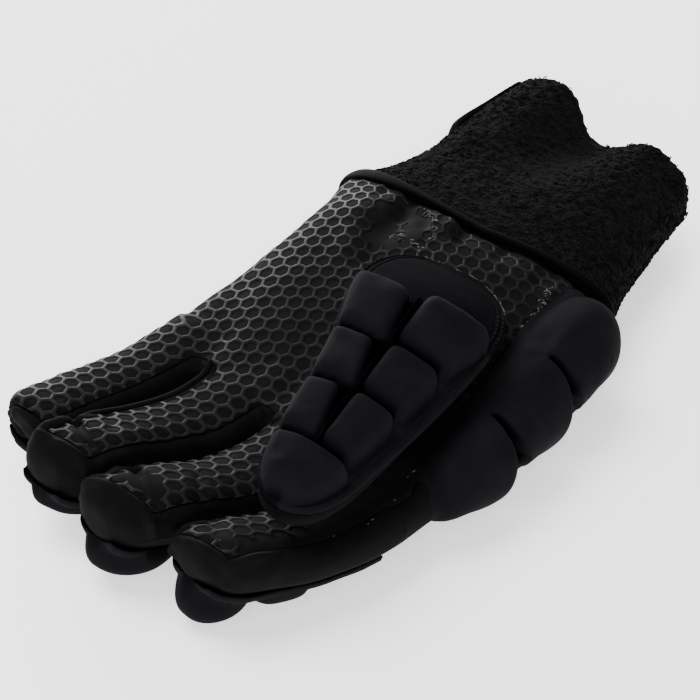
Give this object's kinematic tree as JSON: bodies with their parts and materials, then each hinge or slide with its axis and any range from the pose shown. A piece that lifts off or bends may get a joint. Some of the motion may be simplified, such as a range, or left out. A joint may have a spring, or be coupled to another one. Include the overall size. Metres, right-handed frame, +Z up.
{
  "type": "indoor field hockey glove",
  "caption": "Padded indoor hockey glove for the left hand: honeycomb-printed palm, foam guards on thumb, side and fingers, and an open towelling cuff, lying palm up.",
  "frame": {"origin": "middle of the bounding box, at the surface the glove lies on", "axes": "+X thumb side, +Y from the fingertips to the cuff, +Z up out of the palm"},
  "size_m": [0.1284, 0.2378, 0.0647],
  "materials": {
    "palm_print": "black fabric with a raised grey silicone honeycomb print, half glossy",
    "stretch_fabric": "matte black stretch fabric",
    "guard_fabric": "bluish black fine knit bonded over foam",
    "terry": "black towelling with short loops",
    "binding": "smooth black binding",
    "strap": "flat black strap with a bound edge"
  },
  "bodies": {
    "root": {"palm_panel": "palm_print", "back_panel": "stretch_fabric", "little_finger_sleeve": "stretch_fabric", "little_finger_guard": "guard_fabric", "ring_finger_sleeve": "stretch_fabric", "ring_finger_guard": "guard_fabric", "middle_finger_sleeve": "stretch_fabric", "middle_finger_guard": "guard_fabric", "index_finger_sleeve": "stretch_fabric", "index_finger_guard": "guard_fabric", "thumb_sleeve": "stretch_fabric", "thumb_guard": "guard_fabric", "side_guard": "guard_fabric", "back_guard": "guard_fabric", "cuff": "terry", "wrist_binding": "binding", "closure_strap": "strap"}
  },
  "joints": []
}
